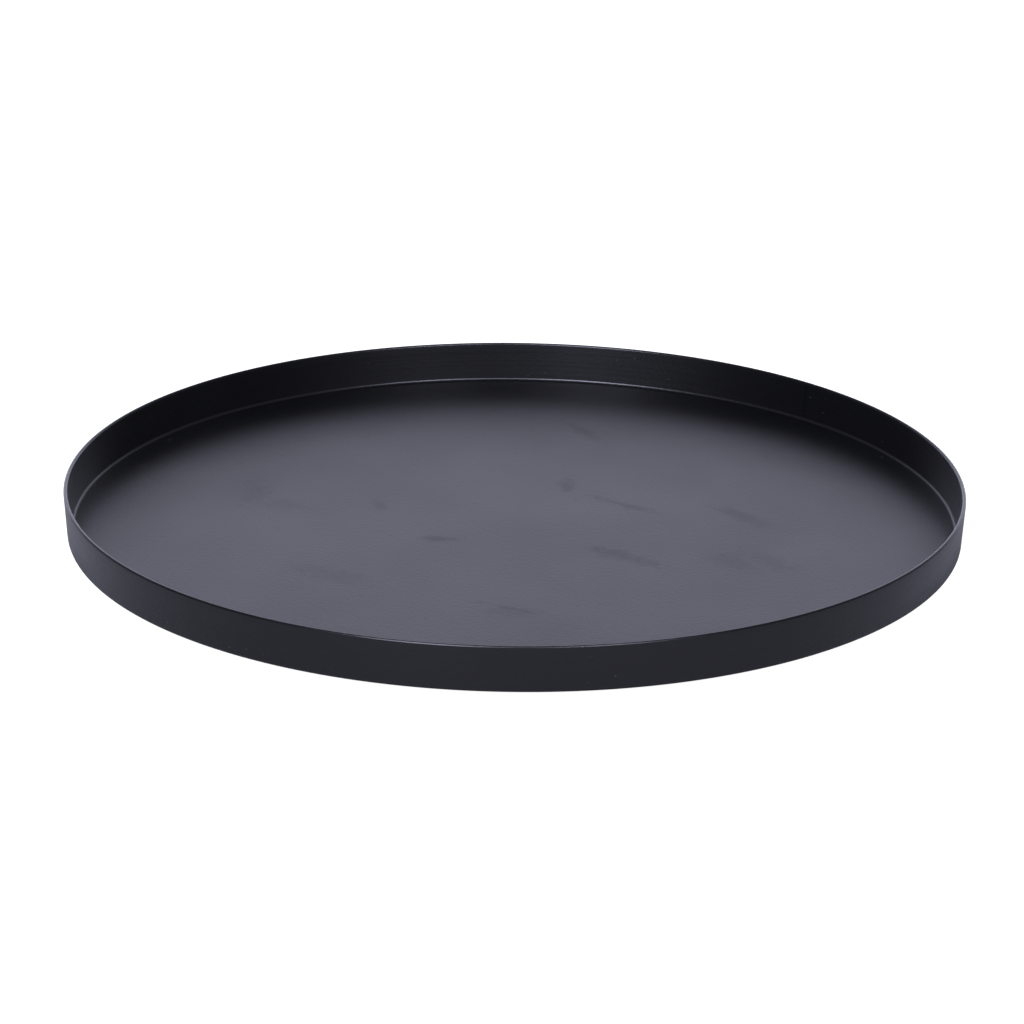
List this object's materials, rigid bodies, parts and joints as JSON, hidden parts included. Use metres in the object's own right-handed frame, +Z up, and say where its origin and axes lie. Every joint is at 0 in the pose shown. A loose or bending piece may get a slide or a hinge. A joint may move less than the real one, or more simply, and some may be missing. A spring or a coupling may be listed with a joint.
{
  "type": "serving tray",
  "caption": "Round low-walled serving tray: a flat disc base inside a plain, slightly flared rolled wall, with thin non-slip pads underneath.",
  "frame": {"origin": "on the tray's axis, in the plane that the pads stand on", "axes": "+Z up along the tray's axis; X and Y lie in the floor's plane, with a pad midway between each pair of them and the wall's weld midway between +X and +Y"},
  "size_m": [0.3998, 0.3998, 0.021],
  "materials": {
    "powder_coat": "satin black powder coat on steel",
    "pad_rubber": "matt moulded rubber"
  },
  "bodies": {
    "root": {"base_plate": "powder_coat", "wall_band": "powder_coat", "wall_seam_weld": "powder_coat", "corner_bead": "powder_coat", "non_slip_pad_1": "pad_rubber", "non_slip_pad_2": "pad_rubber", "non_slip_pad_3": "pad_rubber", "non_slip_pad_4": "pad_rubber"}
  },
  "joints": []
}
